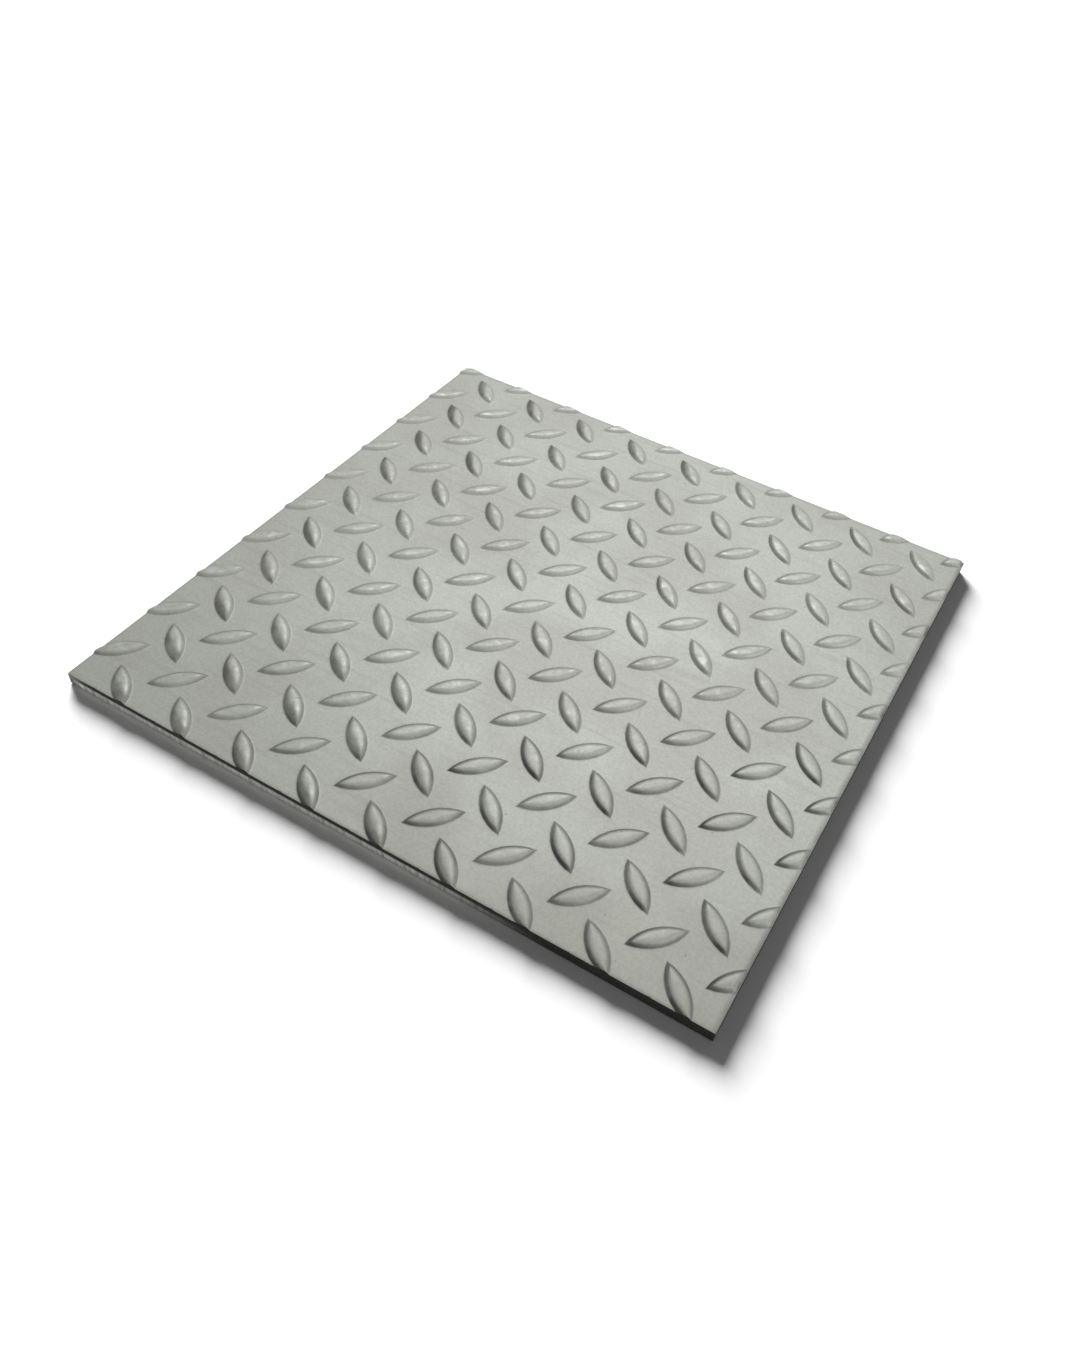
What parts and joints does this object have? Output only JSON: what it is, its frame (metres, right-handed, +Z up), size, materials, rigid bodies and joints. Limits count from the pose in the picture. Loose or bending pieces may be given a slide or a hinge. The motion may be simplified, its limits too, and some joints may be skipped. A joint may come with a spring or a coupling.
{
  "type": "checker steel plate",
  "caption": "Square of hot-rolled steel floor plate with a raised anti-slip pattern of pointed lugs at right angles on its upper face and a smooth underside.",
  "frame": {"origin": "middle of the flat underside", "axes": "+Z up out of the patterned face, +X along the near cut edge, +Y away from it"},
  "size_m": [0.3, 0.3, 0.0075],
  "materials": {
    "steel": "hot-rolled grey, worn brighter on top of the lugs, dark mill scale round their feet and on the cut edges"
  },
  "bodies": {
    "root": {"checker_plate": "steel"}
  },
  "joints": []
}
